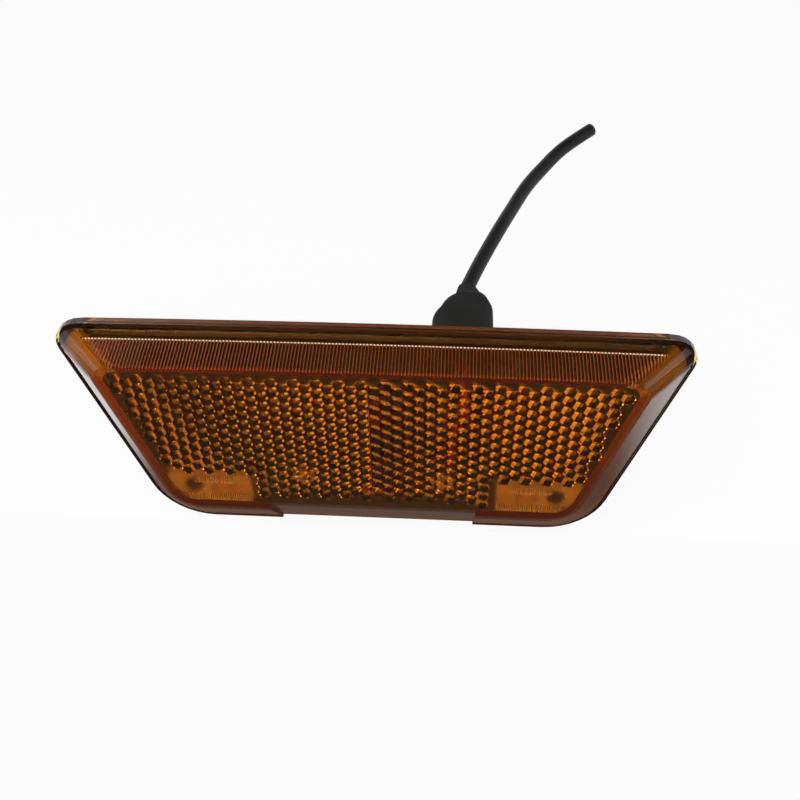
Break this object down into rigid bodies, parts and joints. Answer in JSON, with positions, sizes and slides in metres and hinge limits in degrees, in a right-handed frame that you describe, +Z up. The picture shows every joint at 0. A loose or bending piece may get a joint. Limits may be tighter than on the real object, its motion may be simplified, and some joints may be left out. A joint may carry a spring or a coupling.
{
  "type": "side marker lamp",
  "caption": "Amber side marker lamp with a fluted top wall, a reflex lens and two light windows on a black rear housing, with a rubber boot and a short cut cable at the back.",
  "frame": {"origin": "middle of the housing's rear face, which lies on the vehicle's panel", "axes": "X to the right along the lamp, Z up across its height, +Y out of the rear face towards the vehicle; the lamp faces -Y"},
  "size_m": [0.1264, 0.0912, 0.0618],
  "materials": {
    "amber_acrylic": "clear moulded amber",
    "black_abs": "moulded satin black",
    "board_laminate": "solder mask",
    "led_housing": "white moulding with a yellow phosphor well",
    "resistor_black": "glazed chip",
    "diode_epoxy": "moulded epoxy",
    "capacitor_ceramic": "fired ceramic",
    "white_abs": "moulded gloss white",
    "screw_steel": "zinc plated",
    "insert_brass": "turned",
    "boot_rubber": "matte moulded",
    "cable_pvc": "satin extruded",
    "core_red": "extruded",
    "core_black": "extruded",
    "solder": "tinned"
  },
  "bodies": {
    "root": {"lens": "amber_acrylic", "housing": "black_abs", "circuit_board": "board_laminate", "led_1": "led_housing", "led_2": "led_housing", "led_3": "led_housing", "led_4": "led_housing", "resistor_1": "resistor_black", "resistor_2": "resistor_black", "polarity_diode": "diode_epoxy", "surge_diode": "diode_epoxy", "capacitor": "capacitor_ceramic", "reflector_left": "white_abs", "reflector_right": "white_abs", "board_screws": "screw_steel", "insert_left": "insert_brass", "insert_right": "insert_brass", "cable_boot": "boot_rubber", "cable_sheath": "cable_pvc", "live_core": "core_red", "earth_core": "core_black", "solder_joints": "solder"}
  },
  "joints": []
}
